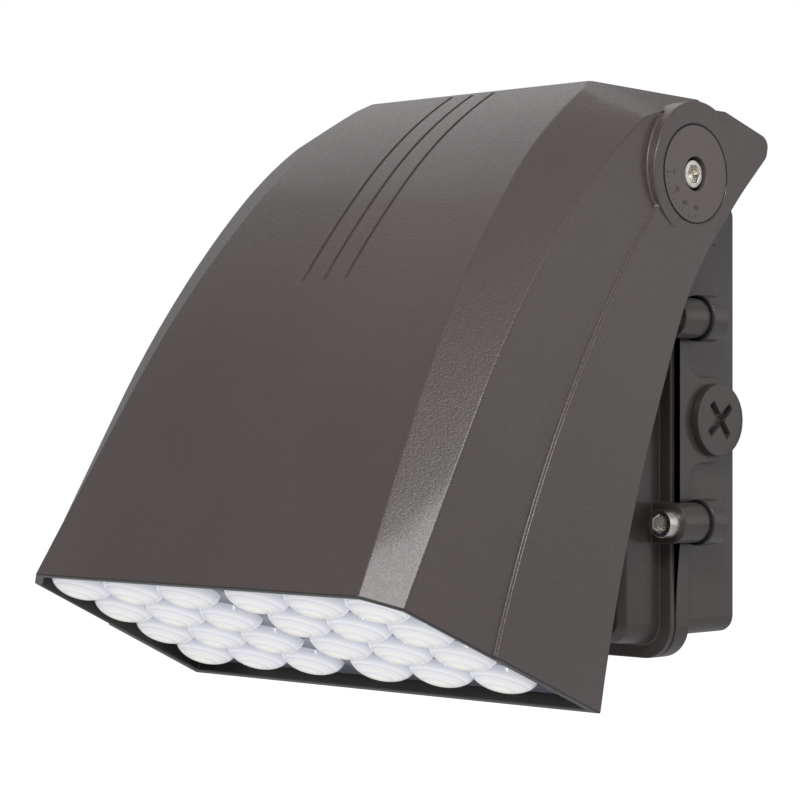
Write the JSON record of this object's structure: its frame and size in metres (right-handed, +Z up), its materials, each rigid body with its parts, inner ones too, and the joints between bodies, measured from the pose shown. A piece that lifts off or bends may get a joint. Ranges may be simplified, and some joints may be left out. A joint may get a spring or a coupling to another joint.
{
  "type": "wall pack light",
  "caption": "Adjustable wall pack light: a gasketed back box for the wall and a chamfered cast hood that tilts on two side hinges and carries a domed LED lens tray.",
  "frame": {"origin": "On the wall plane, in the middle of the wire entry of the back box", "axes": "+X across the wall, +Y into the wall (light thrown towards -Y and down), +Z up"},
  "size_m": [0.2024, 0.1973, 0.2163],
  "materials": {
    "bronze_powder_coat": "dark bronze textured powder coat on die-cast aluminium",
    "black_foam": "closed-cell foam",
    "black_rubber": "moulded silicone",
    "stainless_steel": "stainless",
    "driver_case": "satin white can",
    "surge_case": "matte",
    "terminal_plastic": "matte",
    "black_nylon": "matte",
    "lens_clear": "clear moulded polycarbonate",
    "board_white": "white solder mask",
    "chip_yellow": "phosphor"
  },
  "bodies": {
    "back_box_body": {"back_box": "bronze_powder_coat", "wall_gasket": "black_foam", "box_gasket": "black_rubber", "box_cover": "bronze_powder_coat", "cover_screws": "stainless_steel", "conduit_plugs": "bronze_powder_coat", "led_driver": "driver_case", "surge_protector": "surge_case", "terminal_block": "terminal_plastic", "box_gland": "black_nylon", "dial_caps": "bronze_powder_coat", "tilt_bolts": "stainless_steel"},
    "head": {"head_housing": "bronze_powder_coat", "lens_right": "lens_clear", "lens_left": "lens_clear", "led_board_right": "board_white", "led_board_left": "board_white", "led_chips_right": "chip_yellow", "led_chips_left": "chip_yellow", "lens_gasket": "black_rubber", "lens_clips": "stainless_steel", "tray_gland": "black_nylon"}
  },
  "joints": [
    {"name": "head_tilt", "type": "hinge", "parent": "back_box_body", "child": "head", "pos_m": [0, -0.0445, 0.0855], "axis": [-1, 0, 0], "range_deg": [-24.5, 65.5]}
  ]
}
